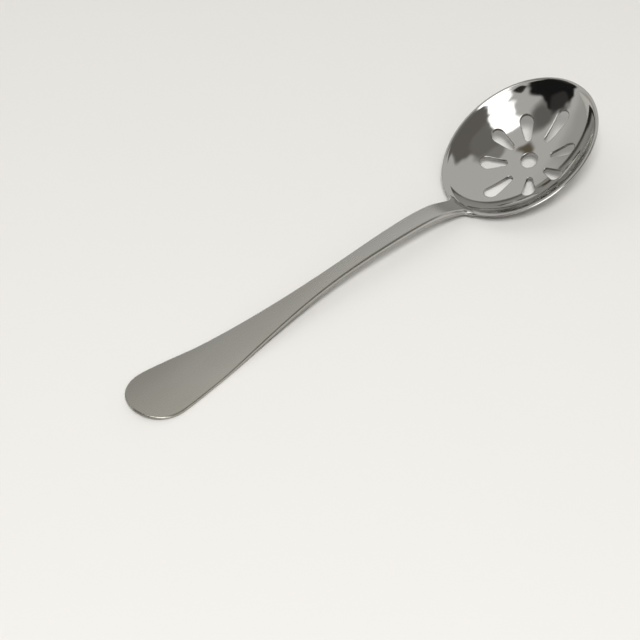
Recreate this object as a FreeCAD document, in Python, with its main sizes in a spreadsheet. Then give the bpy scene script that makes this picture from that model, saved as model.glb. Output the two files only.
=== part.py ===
import FreeCAD, Part
import math
import os
import re
import Sketcher

# Pierced serving spoon, face up as it comes to rest on a table.
#
# The spoon is stamped from one blank of stainless steel, so it is one solid and one node.
# The bowl is a long round shell with a flat land on its rim, and its rim plane rises to the
# front. It is pierced with a flower: eight teardrop slots about a round hole. The handle
# leaves the back of the bowl between two tight shoulders, rises in a low arch, and thins and
# widens to a round spatula end that lies on the table again.
#
# Frame: millimetres, +Z up, the table at z = 0, the spoon along X with its bowl at +X,
# centred on the origin in X and Y.

NODE = "pierced_serving_spoon"

# Driving sizes: alias and value, in mm or degrees. "From the tip" is along the spoon.
SIZES = [
    ("overall_length", 230.0),  # tip of the handle to the front of the rim
    # The bowl, measured in its own tilted frame.
    ("rim_length", 72.5),  # outside of the rim, along the spoon
    ("rim_width", 58.4),  # outside of the rim, across the spoon
    ("rim_tilt", 22.4),  # the rim plane's rise to the front
    ("rim_land", 1.5),  # flat top of the rim
    ("bowl_depth", 13.1),  # rim plane down to the inside of the bottom
    ("bowl_wall", 1.5),  # metal at the bottom of the bowl
    ("curve_rise", 12.0),  # height of the bowl's centre of curve above the rim plane
    # The handle in side view, guide points of its top line.
    ("tip_lift", 1.5),  # underside of the end above the table
    ("tip_thickness", 1.8),
    ("rest_start", 14.0),  # from the tip, where the underside comes down to the table
    ("rest_end", 34.0),  # from the tip, where it leaves the table
    ("rise_start", 42.0),  # from the tip
    ("rise_place", 78.0),  # from the tip
    ("rise_height", 7.1),
    ("arch_height", 10.2),  # half way from the rise to the crown
    ("crown_back", 31.0),  # back from the bowl
    ("crown_height", 11.9),
    ("drop_back", 13.0),  # back from the bowl
    ("drop_height", 11.3),
    ("neck_run", 8.0),  # straight last stretch down to the rim, measured level
    ("neck_fall", 22.0),  # degrees, its fall to the bowl
    ("neck_proud", 0.35),  # its top over the inner edge of the rim land
    ("neck_reach", 3.0),  # how far it carries on past that edge
    ("neck_thickness", 3.8),
    ("under_seat", 43.0),  # degrees up the outside of the bowl where the underside ends
    ("under_run", 10.0),  # straight last stretch of the underside, measured level
    # The handle in plan, guide points of its half width.
    ("tip_radius", 13.0),
    ("blade_place", 42.0),  # from the tip
    ("blade_half", 9.0),
    ("taper_place", 72.0),  # from the tip
    ("taper_half", 4.9),
    ("waist_half", 3.2),  # half way from the taper to the grip
    ("grip_back", 29.0),  # back from the bowl
    ("neck_half", 4.45),
    ("shoulder_radius", 3.4),
    ("shoulder_turn", 72.0),  # degrees of the shoulder's arc, which ends along the rim
    # The flower.
    ("flower_forward", 1.5),  # its centre ahead of the rim's centre
    ("hole_radius", 3.6),
    ("petal_count", 8.0),
    ("petal_near", 8.95),  # flower centre to the narrow end of a petal
    ("petal_far", 19.6),  # flower centre to its wide end
    ("petal_narrow", 1.35),  # radius of the narrow end
    ("petal_wide", 2.75),  # radius of the wide end
    ("axis_near", 1.35),  # added to the narrow end of the petals along the bowl
    ("axis_far", 5.05),  # added to their wide end
]

size = dict(SIZES)
PREFIX = {alias: f"sizes.{alias}" for alias in size}
doc = FreeCAD.newDocument("pierced_spoon")


def make_sheet():
    """Writes the driving sizes to the sheet, one row each, with their aliases."""
    sheet = doc.addObject("Spreadsheet::Sheet", "sizes")
    for row, (alias, value) in enumerate(SIZES, start=1):
        sheet.set(f"A{row}", alias)
        sheet.set(f"B{row}", str(value))
        sheet.setAlias(f"B{row}", alias)
    doc.recompute()
    return sheet


def rule(text):
    """Turns a formula in the aliases into an expression on the sheet."""
    return re.sub(r"[a-z_]+", lambda word: PREFIX.get(word.group(), word.group()), text)


def value(text):
    """The present value of a formula in the aliases."""
    result = sheet.evalExpression(rule(text))
    return float(getattr(result, "Value", result))


# The bowl's two faces are parts of ellipsoids about one centre, which lies curve_rise above
# the rim plane. Their depths are measured from that centre, and each is as long and as wide
# as it takes to reach its own edge of the rim land in the rim plane.
INNER_DEPTH = "(bowl_depth + curve_rise)"
OUTER_DEPTH = "(bowl_depth + bowl_wall + curve_rise)"


def reach(half, depth):
    """Semi-axis of an ellipsoid of this depth that measures half in the rim plane."""
    return f"({half} / sqrt(1 - (curve_rise / {depth})^2))"


INNER_LONG = reach("(rim_length / 2 - rim_land)", INNER_DEPTH)
INNER_WIDE = reach("(rim_width / 2 - rim_land)", INNER_DEPTH)
OUTER_LONG = reach("(rim_length / 2)", OUTER_DEPTH)
OUTER_WIDE = reach("(rim_width / 2)", OUTER_DEPTH)

# The rim's middle: far enough forward for the front of the rim to reach the overall length,
# and high enough for the lowest point of the tilted outer face to touch the table.
RIM_X = "(overall_length / 2 - rim_length / 2 * cos(rim_tilt))"
CURVE_Z = f"sqrt(({OUTER_LONG} * sin(rim_tilt))^2 + ({OUTER_DEPTH} * cos(rim_tilt))^2)"
RIM_Z = f"({CURVE_Z} - curve_rise * cos(rim_tilt))"
CURVE_X = f"({RIM_X} - curve_rise * sin(rim_tilt))"

# A place along the handle is counted from its tip, and the bowl's back lies this far along.
TIP_X = "(-overall_length / 2)"
BOWL_BACK = "(overall_length - rim_length * cos(rim_tilt))"
CROWN_PLACE = f"({BOWL_BACK} - crown_back)"
GRIP_PLACE = f"({BOWL_BACK} - grip_back)"
SIDE_GUIDES = [
    ("rise_place", "rise_height"),
    (f"((rise_place + {CROWN_PLACE}) / 2)", "arch_height"),
    (CROWN_PLACE, "crown_height"),
    (f"({BOWL_BACK} - drop_back)", "drop_height"),
]
PLAN_GUIDES = [
    ("blade_place", "blade_half"),
    ("taper_place", "taper_half"),
    (f"((taper_place + {GRIP_PLACE}) / 2)", "waist_half"),
    (GRIP_PLACE, "neck_half"),
]


def on_bowl(long, depth, angle):
    """World X and Z of the point this many degrees up the back of an ellipsoid."""
    along = f"({long} * sin({angle}))"
    down = f"({depth} * cos({angle}))"
    x = f"({CURVE_X} - {along} * cos(rim_tilt) + {down} * sin(rim_tilt))"
    z = f"({CURVE_Z} - {along} * sin(rim_tilt) - {down} * cos(rim_tilt))"
    return x, z


def slope_on_bowl(long, depth, angle):
    """Fall of that ellipsoid towards the front at the same point, per unit of X."""
    along = f"({long} * cos({angle}))"
    down = f"({depth} * sin({angle}))"
    fall = f"({down} * cos(rim_tilt) - {along} * sin(rim_tilt))"
    run = f"({along} * cos(rim_tilt) + {down} * sin(rim_tilt))"
    return f"({fall} / {run})"


def thickness_at(place):
    """The blank thickens evenly from the tip to the back of the bowl."""
    return f"(tip_thickness + (neck_thickness - tip_thickness) * {place} / {BOWL_BACK})"


class Outline:
    """A sketch whose every point is held at formulas of the sheet."""

    def __init__(self, body, plane, name):
        self.sketch = body.newObject("Sketcher::SketchObject", name)
        role = {feature.Role: feature for feature in body.Origin.OriginFeatures}
        self.sketch.AttachmentSupport = [(role[plane], "")]
        self.sketch.MapMode = "FlatFace"

    def hold(self, kind, geometry, point, formula):
        """Sets one signed distance from the sketch's origin to a point."""
        constraint = Sketcher.Constraint(kind, -1, 1, geometry, point, value(formula))
        index = self.sketch.addConstraint(constraint)
        self.sketch.setExpression(f"Constraints[{index}]", rule(formula))

    def pin(self, geometry, point, place):
        """Holds a point at both of its coordinates."""
        self.hold("DistanceX", geometry, point, place[0])
        self.hold("DistanceY", geometry, point, place[1])

    def radius(self, geometry, formula):
        index = self.sketch.addConstraint(Sketcher.Constraint("Radius", geometry, value(formula)))
        self.sketch.setExpression(f"Constraints[{index}]", rule(formula))

    def point(self, geometry, end):
        return self.sketch.getPoint(geometry, end)

    def line(self, start, end):
        ends = [FreeCAD.Vector(value(place[0]), value(place[1]), 0) for place in (start, end)]
        index = self.sketch.addGeometry(Part.LineSegment(*ends), False)
        self.pin(index, 1, start)
        self.pin(index, 2, end)

    def lines(self, places):
        for start, end in zip(places, places[1:]):
            self.line(start, end)

    def spline(self, poles):
        """A cubic curve, clamped at its ends, with its guide points at the poles."""
        curve = Part.BSplineCurve()
        curve.buildFromPoles([FreeCAD.Vector(value(x), value(y), 0) for x, y in poles], False, 3)
        index = self.sketch.addGeometry(curve, False)
        self.sketch.exposeInternalGeometry(index)
        for number, pole in enumerate(poles, start=1):
            self.pin(index + number, 3, pole)

    def arc(self, centre, radius, first, last):
        """An arc counter-clockwise between two directions, given in degrees."""
        middle = FreeCAD.Vector(value(centre[0]), value(centre[1]), 0)
        circle = Part.Circle(middle, FreeCAD.Vector(0, 0, 1), value(radius))
        angles = [math.radians(value(angle)) for angle in (first, last)]
        index = self.sketch.addGeometry(Part.ArcOfCircle(circle, *angles), False)
        self.pin(index, 3, centre)
        self.radius(index, radius)
        for point, angle in ((1, first), (2, last)):
            # The coordinate that changes fastest there fixes the end along the circle.
            if abs(math.sin(math.radians(value(angle)))) > 0.7:
                self.hold("DistanceX", index, point, f"({centre[0]} + {radius} * cos({angle}))")
            else:
                self.hold("DistanceY", index, point, f"({centre[1]} + {radius} * sin({angle}))")


def make_face(name, long, wide, depth):
    """An ellipsoid about the bowl's centre of curve, its poles along the bowl."""
    face = doc.addObject("Part::Ellipsoid", name)
    face.setExpression("Radius1", rule(long))
    face.setExpression("Radius2", rule(depth))
    face.setExpression("Radius3", rule(wide))
    face.Placement.Rotation = FreeCAD.Rotation(FreeCAD.Vector(0, 1, 0), 90 - size["rim_tilt"])
    face.setExpression("Placement.Rotation.Angle", rule("90 - rim_tilt"))
    face.setExpression("Placement.Base.x", rule(CURVE_X))
    face.setExpression("Placement.Base.z", rule(CURVE_Z))
    return face


def make_bowl():
    """The bowl before it is hollowed: all of its outer ellipsoid under the rim plane."""
    under = doc.addObject("Part::Box", "under_rim")
    under.setExpression("Length", rule("2 * rim_length"))
    under.setExpression("Width", rule("2 * rim_width"))
    under.setExpression("Height", rule("rim_length"))
    under.Placement.Rotation = FreeCAD.Rotation(FreeCAD.Vector(0, -1, 0), size["rim_tilt"])
    under.setExpression("Placement.Rotation.Angle", rule("rim_tilt"))
    corner_x = f"{RIM_X} - rim_length * cos(rim_tilt) + rim_length * sin(rim_tilt)"
    corner_z = f"{RIM_Z} - rim_length * sin(rim_tilt) - rim_length * cos(rim_tilt)"
    under.setExpression("Placement.Base.x", rule(corner_x))
    under.setExpression("Placement.Base.y", rule("-rim_width"))
    under.setExpression("Placement.Base.z", rule(corner_z))
    bowl = doc.addObject("Part::Common", "bowl")
    bowl.Base = make_face("outer_face", OUTER_LONG, OUTER_WIDE, OUTER_DEPTH)
    bowl.Tool = under
    return bowl


def make_handle():
    """The bent blank: a side view drawn out sideways, then cut to its plan outline."""
    body = doc.addObject("PartDesign::Body", "handle")
    side = Outline(body, "XZ_Plane", "side_view")
    bend = "((rest_start^2 + tip_lift^2) / (2 * tip_lift))"
    sweep = f"asin(rest_start / {bend})"
    centre = (f"({TIP_X} + rest_start)", bend)
    over = f"({bend} - tip_thickness)"
    side.arc(centre, bend, f"(270 deg - {sweep})", "270 deg")
    side.arc(centre, over, f"(270 deg - {sweep})", "270 deg")
    end_under = (TIP_X, "tip_lift")
    end_over = (f"({centre[0]} - {over} * sin({sweep}))", f"({bend} - {over} * cos({sweep}))")
    side.line(end_under, end_over)

    rest = [f"({TIP_X} + {place})" for place in ("rest_start", "rest_end", "rise_start")]
    side.line((rest[0], "0"), (rest[1], "0"))
    side.line((rest[0], "tip_thickness"), (rest[1], "tip_thickness"))

    over_poles = [(rest[1], "tip_thickness"), (rest[2], "tip_thickness")]
    under_poles = [(rest[1], "0"), (rest[2], "0")]
    for place, height in SIDE_GUIDES:
        over_poles.append((f"({TIP_X} + {place})", height))
        under_poles.append((f"({TIP_X} + {place})", f"({height} - {thickness_at(place)})"))

    edge_x = f"({RIM_X} - (rim_length / 2 - rim_land) * cos(rim_tilt))"
    edge_z = f"({RIM_Z} - (rim_length / 2 - rim_land) * sin(rim_tilt) + neck_proud)"
    for past in ("(-neck_run)", "neck_reach"):
        over_poles.append((f"({edge_x} + {past})", f"({edge_z} - {past} * tan(neck_fall))"))

    seat_x, seat_z = on_bowl(OUTER_LONG, OUTER_DEPTH, "under_seat")
    fall = slope_on_bowl(OUTER_LONG, OUTER_DEPTH, "under_seat")
    under_poles.append((f"({seat_x} - under_run)", f"({seat_z} + under_run * {fall})"))
    under_poles.append((seat_x, seat_z))

    side.spline(over_poles)
    side.spline(under_poles)
    side.line(over_poles[-1], under_poles[-1])

    bent = body.newObject("PartDesign::Pad", "bent_blank")
    bent.Profile = side.sketch
    bent.SideType = "Symmetric"
    bent.setExpression("Length", rule("4 * tip_radius"))
    doc.recompute()

    plan = Outline(body, "XY_Plane", "plan_view")
    tip_centre = f"({TIP_X} + tip_radius)"
    plan.arc((tip_centre, "0"), "tip_radius", "90", "270")
    turn_y = "(neck_half + shoulder_radius * (1 - cos(shoulder_turn)))"
    rim_back = f"({RIM_X} - rim_length / 2 * cos(rim_tilt) * sqrt(1 - ({turn_y} / (rim_width / 2))^2))"
    neck_x = f"({rim_back} + rim_land / 2 - shoulder_radius * sin(shoulder_turn))"
    turn_x = f"({neck_x} + shoulder_radius * sin(shoulder_turn))"
    for side_sign in ("", "-"):
        flank = [(tip_centre, f"{side_sign}tip_radius")]
        flank.append((f"({tip_centre} + tip_radius / 3)", f"{side_sign}tip_radius"))
        for place, half in PLAN_GUIDES:
            flank.append((f"({TIP_X} + {place})", f"{side_sign}{half}"))
        flank.append((neck_x, f"{side_sign}neck_half"))
        plan.spline(flank)
    shoulder_y = "(neck_half + shoulder_radius)"
    plan.arc((neck_x, shoulder_y), "shoulder_radius", "270", "(270 + shoulder_turn)")
    plan.arc((neck_x, f"(-{shoulder_y})"), "shoulder_radius", "(90 - shoulder_turn)", "90")
    root_x = f"({seat_x} + neck_half)"
    plan.lines(
        [(turn_x, turn_y), (root_x, "neck_half"), (root_x, "-neck_half"), (turn_x, f"(-{turn_y})")]
    )
    margin = "(2 * tip_radius)"
    frame_x = (f"({TIP_X} - {margin})", f"({root_x} + {margin})")
    plan.lines(
        [
            (frame_x[0], f"(-{margin})"),
            (frame_x[1], f"(-{margin})"),
            (frame_x[1], margin),
            (frame_x[0], margin),
            (frame_x[0], f"(-{margin})"),
        ]
    )
    trimmed = body.newObject("PartDesign::Pocket", "trimmed_blank")
    trimmed.Profile = plan.sketch
    trimmed.SideType = "Symmetric"
    trimmed.Type = "ThroughAll"
    doc.recompute()
    return body


def make_petal(flower, angle):
    """A teardrop slot: two round ends joined by the lines that touch both."""
    ends = (
        f"(petal_near + petal_narrow + axis_near * cos({angle})^8)",
        f"(petal_far - petal_wide + axis_far * cos({angle})^8)",
    )
    centres = [(f"({end} * cos({angle}))", f"({end} * sin({angle}))") for end in ends]
    radii = ("petal_narrow", "petal_wide")
    narrow, wide = [FreeCAD.Vector(value(x), value(y), 0) for x, y in centres]
    span = wide - narrow
    heading = math.degrees(math.atan2(span.y, span.x))
    opening = 90 + math.degrees(math.asin((value(radii[1]) - value(radii[0])) / span.Length))
    sweeps = ((heading + opening, heading + 360 - opening), (heading - opening, heading + opening))
    arcs = []
    for centre, radius, sweep in zip((narrow, wide), radii, sweeps):
        circle = Part.Circle(centre, FreeCAD.Vector(0, 0, 1), value(radius))
        bounds = [math.radians(bound) for bound in sweep]
        arcs.append(flower.sketch.addGeometry(Part.ArcOfCircle(circle, *bounds), False))
    for arc, place, radius in zip(arcs, centres, radii):
        flower.pin(arc, 3, place)
        flower.radius(arc, radius)
    for near_end, far_end in ((1, 2), (2, 1)):
        ends = (flower.point(arcs[0], near_end), flower.point(arcs[1], far_end))
        line = flower.sketch.addGeometry(Part.LineSegment(*ends), False)
        flower.sketch.addConstraint(Sketcher.Constraint("Tangent", arcs[0], near_end, line, 1))
        flower.sketch.addConstraint(Sketcher.Constraint("Tangent", arcs[1], far_end, line, 2))


def pierce(blank):
    """The finished spoon: the blank, punched square to its rim plane with the flower."""
    body = doc.addObject("PartDesign::Body", "spoon")
    body.Label = NODE
    body.BaseFeature = blank
    flower = Outline(body, "XY_Plane", "flower")
    tilt = FreeCAD.Rotation(FreeCAD.Vector(0, -1, 0), size["rim_tilt"])
    flower.sketch.AttachmentOffset = FreeCAD.Placement(FreeCAD.Vector(), tilt)
    flower.sketch.setExpression("AttachmentOffset.Rotation.Angle", rule("rim_tilt"))
    middle_x = f"{RIM_X} + flower_forward * cos(rim_tilt)"
    middle_z = f"{RIM_Z} + flower_forward * sin(rim_tilt)"
    flower.sketch.setExpression("AttachmentOffset.Base.x", rule(middle_x))
    flower.sketch.setExpression("AttachmentOffset.Base.z", rule(middle_z))
    hole = flower.sketch.addGeometry(Part.Circle(), False)
    flower.pin(hole, 3, ("0", "0"))
    flower.radius(hole, "hole_radius")
    for number in range(int(size["petal_count"])):
        make_petal(flower, f"(360 * {number} / petal_count)")
    punched = body.newObject("PartDesign::Pocket", "piercing")
    punched.Profile = flower.sketch
    punched.SideType = "Symmetric"
    punched.Type = "ThroughAll"
    doc.recompute()
    return body


def check(body):
    """Stops before anything is written if an object failed or the spoon isn't one solid."""
    for item in doc.Objects:
        if "Invalid" in item.State or "Error" in item.State:
            raise SystemExit(f"{item.Name} failed: {item.State}")
    shape = body.Shape
    if shape.isNull() or not shape.isValid() or len(shape.Solids) != 1:
        raise SystemExit(f"{body.Label} isn't one valid solid")
    print(f"{body.Label}: {len(shape.Faces)} faces, {shape.Volume:.1f} mm3")


sheet = make_sheet()
handle = make_handle()
blank = doc.addObject("Part::Fuse", "blank")
blank.Base = make_bowl()
blank.Tool = handle
scooped = doc.addObject("Part::Cut", "scooped_blank")
scooped.Base = blank
scooped.Tool = make_face("inner_face", INNER_LONG, INNER_WIDE, INNER_DEPTH)
doc.recompute()
spoon = pierce(scooped)
check(spoon)
if spoon.Shape.Volume >= scooped.Shape.Volume:
    raise SystemExit("the flower cut nothing")

os.makedirs("parts", exist_ok=True)
spoon.Shape.exportStep(f"parts/{spoon.Label}.step")
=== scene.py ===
"""A pierced serving spoon of stainless steel, lying face up on a pale table.

The spoon is one sheet of metal: an upper face, an under face and the rounded edges between
them. Both faces follow rules, worked out from the spoon's driving sizes: two ellipsoids about
one centre make the bowl, and a side view and a plan view make the handle. The flower that
pierces the bowl is a Geometry Nodes tree, and the sheet is trimmed to the outlines it gives.

Forms are worked out in millimetres in the CAD's frame and written to Blender in metres.
"""

import logging
import math
from dataclasses import dataclass, field
from enum import Enum

import bpy
import numpy as np
from mathutils import Matrix, Vector
from mathutils.geometry import delaunay_2d_cdt


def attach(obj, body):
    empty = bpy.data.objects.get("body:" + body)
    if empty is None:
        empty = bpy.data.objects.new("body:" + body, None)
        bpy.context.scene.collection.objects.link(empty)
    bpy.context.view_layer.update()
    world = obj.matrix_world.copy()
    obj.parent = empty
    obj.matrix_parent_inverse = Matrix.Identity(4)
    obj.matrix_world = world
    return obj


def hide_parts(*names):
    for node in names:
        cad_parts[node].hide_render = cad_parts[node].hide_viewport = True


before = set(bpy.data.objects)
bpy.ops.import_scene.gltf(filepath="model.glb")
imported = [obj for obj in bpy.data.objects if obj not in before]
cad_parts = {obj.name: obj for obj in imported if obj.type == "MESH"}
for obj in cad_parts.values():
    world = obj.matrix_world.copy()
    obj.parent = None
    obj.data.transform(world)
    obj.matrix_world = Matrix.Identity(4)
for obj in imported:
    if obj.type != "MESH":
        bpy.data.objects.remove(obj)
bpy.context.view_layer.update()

MM = 0.001
NODE = "pierced_serving_spoon"
BODY = "root"
MERGE = 1e-7  # places nearer than this count as one when the faces are filled, in mm
Triple = tuple[float, float, float]
Tree = bpy.types.NodeTree
Socket = bpy.types.NodeSocket
log = logging.getLogger("spoon")


class Face(Enum):
    """The two faces of the sheet of metal, each with the side it looks to: up or down."""

    UPPER = 1.0
    UNDER = -1.0


@dataclass(frozen=True)
class SpoonSizes:
    """The spoon's driving sizes, in millimetres and degrees, as the CAD model has them."""

    overall_length: float = 230.0
    rim_length: float = 72.5
    rim_width: float = 58.4
    rim_tilt: float = 22.4
    rim_land: float = 1.5
    bowl_depth: float = 13.1
    bowl_wall: float = 1.5
    curve_rise: float = 12.0
    tip_lift: float = 1.5
    tip_thickness: float = 1.8
    rest_start: float = 14.0
    rest_end: float = 34.0
    rise_start: float = 42.0
    rise: tuple[float, float] = (78.0, 7.1)  # from the tip, and the height there
    arch_height: float = 10.2
    crown_back: float = 31.0  # before the bowl, as drop_back and grip_back are
    crown_height: float = 11.9
    drop_back: float = 13.0
    drop_height: float = 11.3
    neck_run: float = 8.0
    neck_fall: float = 22.0
    neck_proud: float = 0.35
    neck_reach: float = 3.0
    neck_thickness: float = 3.8
    under_seat: float = 43.0
    under_run: float = 10.0
    tip_radius: float = 13.0
    blade: tuple[float, float] = (42.0, 9.0)  # from the tip, and half the width there
    taper: tuple[float, float] = (72.0, 4.9)
    waist_half: float = 3.2
    grip_back: float = 29.0
    neck_half: float = 4.45
    shoulder_radius: float = 3.4
    shoulder_turn: float = 72.0
    flower_forward: float = 1.5
    hole_radius: float = 3.6
    petal_count: int = 8
    petal_near: float = 8.95  # from the hole's centre to the narrow end of a slot
    petal_far: float = 19.6  # and to its wide end
    petal_narrow: float = 1.35
    petal_wide: float = 2.75
    axis_near: float = 1.35  # added to the narrow end of the two slots along the bowl
    axis_far: float = 5.05  # and to their wide end


def soft_min(first: np.ndarray, second: np.ndarray, reach: float) -> np.ndarray:
    """The lower of two heights, rounded where they cross.

    Args:
        first: One height for each place.
        second: The other height for each place.
        reach: How far apart the heights still round each other, in mm.

    Returns:
        The rounded lower height for each place.
    """
    share = np.clip(0.5 + 0.5 * (second - first) / reach, 0.0, 1.0)
    return second + (first - second) * share - reach * share * (1.0 - share)


def soft_max(first: np.ndarray, second: np.ndarray, reach: float) -> np.ndarray:
    """The upper of two heights, rounded where they cross, as soft_min does."""
    return -soft_min(-first, -second, reach)


def fade(value: np.ndarray, start: float, end: float) -> np.ndarray:
    """A smooth step from 0 at start to 1 at end."""
    share = np.clip((value - start) / (end - start), 0.0, 1.0)
    return share * share * (3.0 - 2.0 * share)


def unit(vectors: np.ndarray) -> np.ndarray:
    """The same directions at length one."""
    return vectors / np.linalg.norm(vectors, axis=-1, keepdims=True)


def cubic_curve(guides: list[tuple[float, float]], samples: int = 4000) -> np.ndarray:
    """Samples a cubic B-spline that starts and ends at its outer guide points.

    Args:
        guides: The guide points, in order.
        samples: How many points to give back.

    Returns:
        An array of points, one to a row.
    """
    degree = 3
    points = np.array(guides, float)
    marks = np.linspace(0.0, 1.0, len(points) - degree + 1)
    knots = np.concatenate([np.zeros(degree), marks, np.ones(degree)])
    where = np.linspace(0.0, 1.0, samples)
    span = np.searchsorted(knots, where, side="right") - 1
    first = np.clip(span, degree, len(points) - 1) - degree
    work = [points[first + step] for step in range(degree + 1)]
    for level in range(1, degree + 1):
        for step in range(degree, level - 1, -1):
            low = knots[first + step]
            high = knots[first + degree + 1 + step - level]
            share = ((where - low) / (high - low))[:, None]
            work[step] = (1.0 - share) * work[step - 1] + share * work[step]
    return work[degree]


@dataclass
class BowlForm:
    """The bowl: two ellipsoids about one centre, cut by the tilted plane of the rim."""

    sizes: SpoonSizes

    def __post_init__(self) -> None:
        """Works out the rim's place and the semi-axes of both faces."""
        size = self.sizes
        self.cos = math.cos(math.radians(size.rim_tilt))
        self.sin = math.sin(math.radians(size.rim_tilt))
        self.rim = (size.rim_length / 2, size.rim_width / 2)
        self.inner_rim = (self.rim[0] - size.rim_land, self.rim[1] - size.rim_land)
        self.inner = self.axes(self.inner_rim, size.bowl_depth)
        self.outer = self.axes(self.rim, size.bowl_depth + size.bowl_wall)
        lowest = math.hypot(self.outer[0] * self.sin, self.outer[2] * self.cos)
        self.rim_x = size.overall_length / 2 - self.rim[0] * self.cos
        self.rim_z = lowest - size.curve_rise * self.cos

    def axes(self, rim: tuple[float, float], depth: float) -> Triple:
        """Works out an ellipsoid from the part of it under the rim plane.

        Args:
            rim: Half its length and half its width in the rim plane.
            depth: How far it reaches under the rim plane.

        Returns:
            Its semi-axes along, across and over the rim plane.
        """
        down = depth + self.sizes.curve_rise
        share = math.sqrt(1.0 - (self.sizes.curve_rise / down) ** 2)
        return rim[0] / share, rim[1] / share, down

    def depth_at(self, axes: Triple, u: np.ndarray, v: np.ndarray) -> np.ndarray:
        """Height over the rim plane of a face, at places in that plane."""
        rest = np.clip(1.0 - (u / axes[0]) ** 2 - (v / axes[1]) ** 2, 0.0, None)
        return self.sizes.curve_rise - axes[2] * np.sqrt(rest)

    def world(self, u: np.ndarray, v: np.ndarray, w: np.ndarray) -> np.ndarray:
        """World places of points given by the rim plane.

        Args:
            u: Places along the rim plane, in mm.
            v: Places across it.
            w: Heights over it.

        Returns:
            The points, one to a row.
        """
        x = self.rim_x + u * self.cos - w * self.sin
        z = self.rim_z + u * self.sin + w * self.cos
        return np.stack([x, v + 0.0 * x, z], axis=-1)

    def turned(self, u: np.ndarray, v: np.ndarray, w: np.ndarray) -> np.ndarray:
        """World directions of vectors given along, across and over the rim plane."""
        return np.stack([u * self.cos - w * self.sin, v, u * self.sin + w * self.cos], axis=-1)

    def normal(self, axes: Triple, u: np.ndarray, v: np.ndarray) -> np.ndarray:
        """World unit normals on the lower half of an ellipsoid, pointing out of it.

        Args:
            axes: The ellipsoid's semi-axes.
            u: Places along the rim plane, in mm.
            v: Places across it.

        Returns:
            The normals, one to a row.
        """
        w = self.depth_at(axes, u, v) - self.sizes.curve_rise
        return unit(self.turned(u / axes[0] ** 2, v / axes[1] ** 2, w / axes[2] ** 2))

    def land_height(self, x: np.ndarray) -> np.ndarray:
        """World height of the rim plane."""
        return self.rim_z + (x - self.rim_x) * self.sin / self.cos

    def face_height(self, axes: Triple, x: np.ndarray, y: np.ndarray) -> np.ndarray:
        """World height of the lower half of an ellipsoid over places on the table.

        Args:
            axes: The ellipsoid's semi-axes along, across and over the rim plane.
            x: Places along the spoon.
            y: Places across the spoon.

        Returns:
            The heights. Past the ellipsoid's widest line they stay at its height.
        """
        along = x - (self.rim_x - self.sizes.curve_rise * self.sin)
        a2, b2, c2 = axes[0] ** 2, axes[1] ** 2, axes[2] ** 2
        square = self.sin**2 / a2 + self.cos**2 / c2
        linear = 2.0 * along * self.sin * self.cos * (1.0 / a2 - 1.0 / c2)
        constant = along**2 * (self.cos**2 / a2 + self.sin**2 / c2) + y**2 / b2 - 1.0
        root = np.sqrt(np.clip(linear**2 - 4.0 * square * constant, 0.0, None))
        centre_z = self.rim_z + self.sizes.curve_rise * self.cos
        return centre_z + (-linear - root) / (2.0 * square)


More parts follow.
